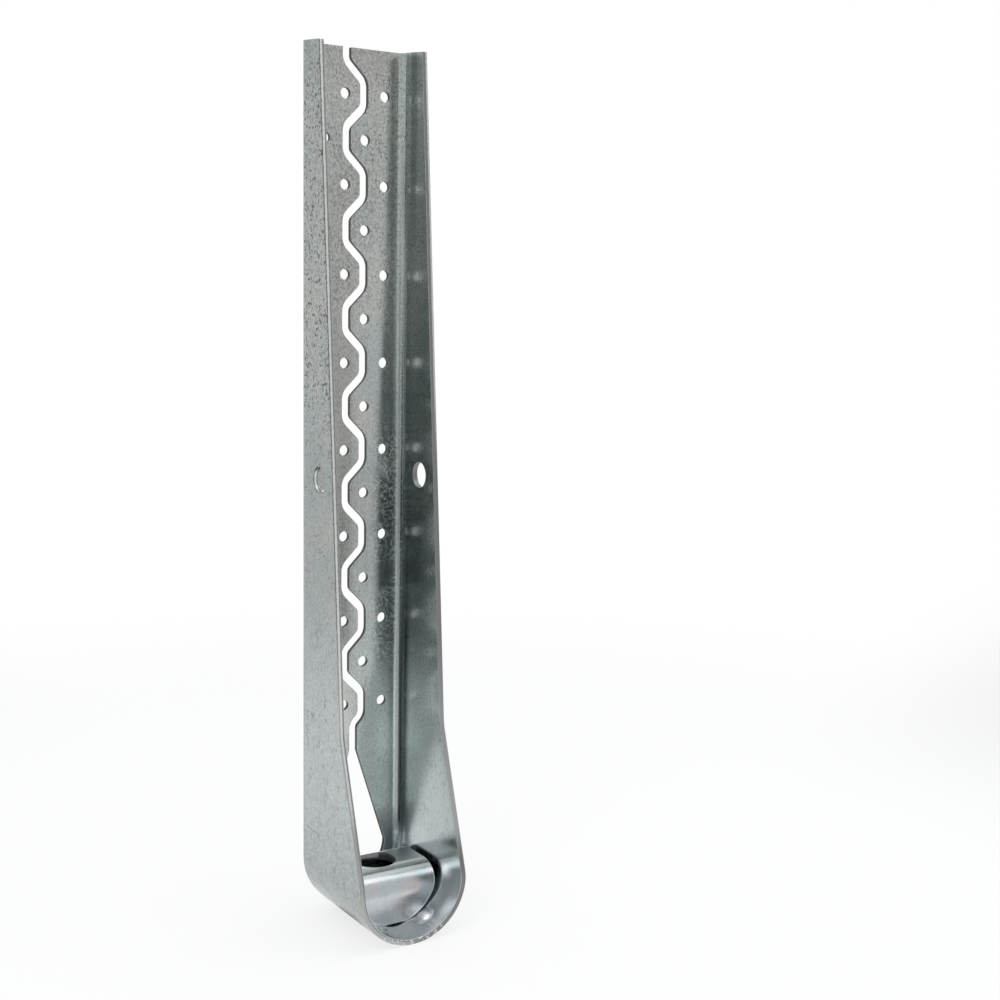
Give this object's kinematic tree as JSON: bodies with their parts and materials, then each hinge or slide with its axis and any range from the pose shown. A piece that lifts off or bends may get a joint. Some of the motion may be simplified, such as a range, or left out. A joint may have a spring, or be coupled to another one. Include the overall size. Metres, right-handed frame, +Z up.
{
  "type": "hold-down",
  "caption": "Tall folded steel hold-down: a channel with a wavy back seam and staggered screw holes, over a rounded strap seat with a bent load plate for an anchor bolt.",
  "frame": {"origin": "on the anchor bolt's axis, at the bottom of the rounded strap", "axes": "+Z up along the post, +Y out of the back face towards the post, the open front towards -Y"},
  "size_m": [0.0762, 0.0889, 0.5652],
  "materials": {
    "galvanised_sheet": "hot-dip galvanised, mottled grey with fine dark specks",
    "bright_zinc": "bright zinc, smooth and glossy"
  },
  "bodies": {
    "root": {"folded_body": "galvanised_sheet", "load_plate": "bright_zinc"}
  },
  "joints": []
}
